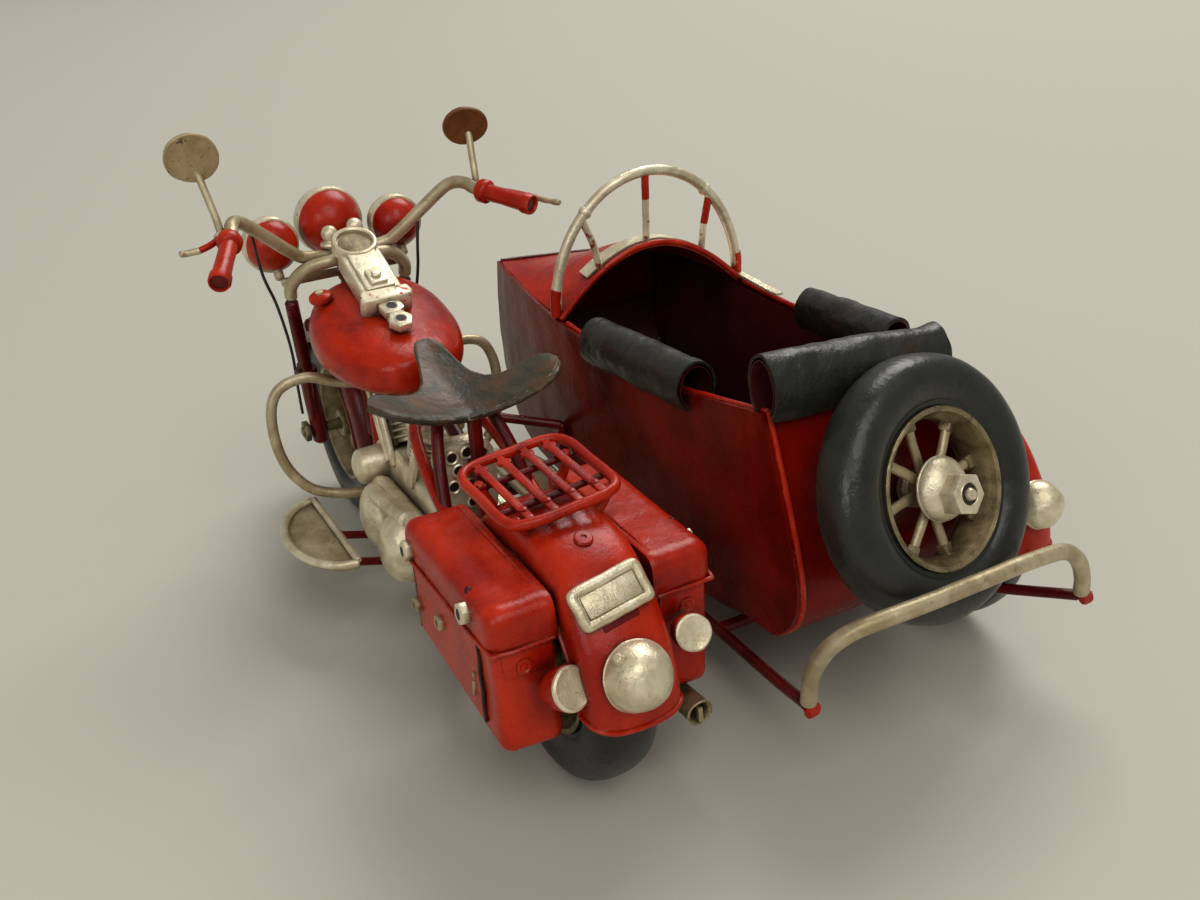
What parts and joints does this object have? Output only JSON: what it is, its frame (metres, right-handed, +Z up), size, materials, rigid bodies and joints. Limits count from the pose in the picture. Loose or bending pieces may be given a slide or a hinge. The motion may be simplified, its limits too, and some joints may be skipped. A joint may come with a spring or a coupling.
{
  "type": "tin motorcycle with sidecar",
  "caption": "Hand-made tin motorcycle with an open boat-shaped sidecar, saddlebags, luggage rack, three front lamps, windscreen hoop and a spare wheel; wheels roll and the fork steers.",
  "frame": {"origin": "middle of the footprint, on the ground the wheels stand on", "axes": "+X forward (the way it is ridden), +Y to the rider's left, +Z up; the sidecar is on the right, towards -Y"},
  "size_m": [0.1872, 0.1474, 0.1075],
  "materials": {
    "red_enamel": "satin, worn to bare metal at edges",
    "dark_red_enamel": "satin, worn",
    "worn_silver": "champagne silver with brown patina",
    "aged_brass": "dull, darkened",
    "tyre_rubber": "satin black with pale scuffs",
    "dark_hide": "dark, rubbed brown at edges",
    "cable_sleeve": "dull"
  },
  "bodies": {
    "chassis": {"frame": "red_enamel", "fuel_tank": "red_enamel", "dash_console": "worn_silver", "saddle": "dark_hide", "crankcase": "worn_silver", "cylinder_front": "worn_silver", "cylinder_rear": "worn_silver", "primary_cover": "worn_silver", "perforated_plate": "worn_silver", "exhaust_pipe": "aged_brass", "crash_bar": "worn_silver", "rear_fender": "red_enamel", "luggage_rack": "red_enamel", "tail_lamp": "worn_silver", "number_plate": "worn_silver", "rear_axle": "aged_brass", "footboard_left": "worn_silver", "footboard_right": "worn_silver", "saddlebag_left": "red_enamel", "saddlebag_right": "red_enamel", "bag_lid_left": "red_enamel", "bag_lid_right": "red_enamel", "turn_signal_left": "red_enamel", "turn_signal_right": "red_enamel", "sidecar_hull": "red_enamel", "windscreen_hoop": "worn_silver", "arm_pad_left": "dark_hide", "arm_pad_right": "dark_hide", "backrest": "dark_hide", "sidecar_seat": "dark_hide", "sidecar_chassis": "red_enamel", "rear_bumper": "worn_silver", "sidecar_fender": "red_enamel", "sidecar_lamp": "worn_silver", "spare_tyre": "tyre_rubber", "spare_rim": "aged_brass", "spare_hub_nut": "worn_silver"},
    "steering": {"fork_crown": "worn_silver", "fork_leg_left": "dark_red_enamel", "fork_leg_right": "dark_red_enamel", "handlebar": "worn_silver", "grip_left": "red_enamel", "grip_right": "red_enamel", "lever_left": "worn_silver", "lever_right": "worn_silver", "mirror_left": "worn_silver", "mirror_right": "worn_silver", "headlamp": "red_enamel", "aux_lamp_left": "red_enamel", "aux_lamp_right": "red_enamel", "front_fender": "dark_red_enamel", "front_axle": "aged_brass", "brake_cable_left": "cable_sleeve", "brake_cable_right": "cable_sleeve"},
    "front_wheel": {"front_tyre": "tyre_rubber", "front_rim": "aged_brass"},
    "rear_wheel": {"rear_tyre": "tyre_rubber", "rear_rim": "aged_brass"},
    "side_wheel": {"sidecar_tyre": "tyre_rubber", "sidecar_rim": "aged_brass"}
  },
  "joints": [
    {"name": "steering_turn", "type": "hinge", "parent": "chassis", "child": "steering", "pos_m": [0.06243, 0.03317, 0.0255], "axis": [-0.2079, 0, 0.9781], "range_deg": [-25, 25]},
    {"name": "front_wheel_roll", "type": "hinge", "parent": "steering", "child": "front_wheel", "pos_m": [0.06543, 0.03317, 0.0255], "axis": [0, 1, 0], "continuous": true},
    {"name": "rear_wheel_roll", "type": "hinge", "parent": "chassis", "child": "rear_wheel", "pos_m": [-0.05557, 0.03317, 0.0255], "axis": [0, 1, 0], "continuous": true},
    {"name": "side_wheel_roll", "type": "hinge", "parent": "chassis", "child": "side_wheel", "pos_m": [-0.05057, -0.06533, 0.0255], "axis": [0, 1, 0], "continuous": true}
  ]
}
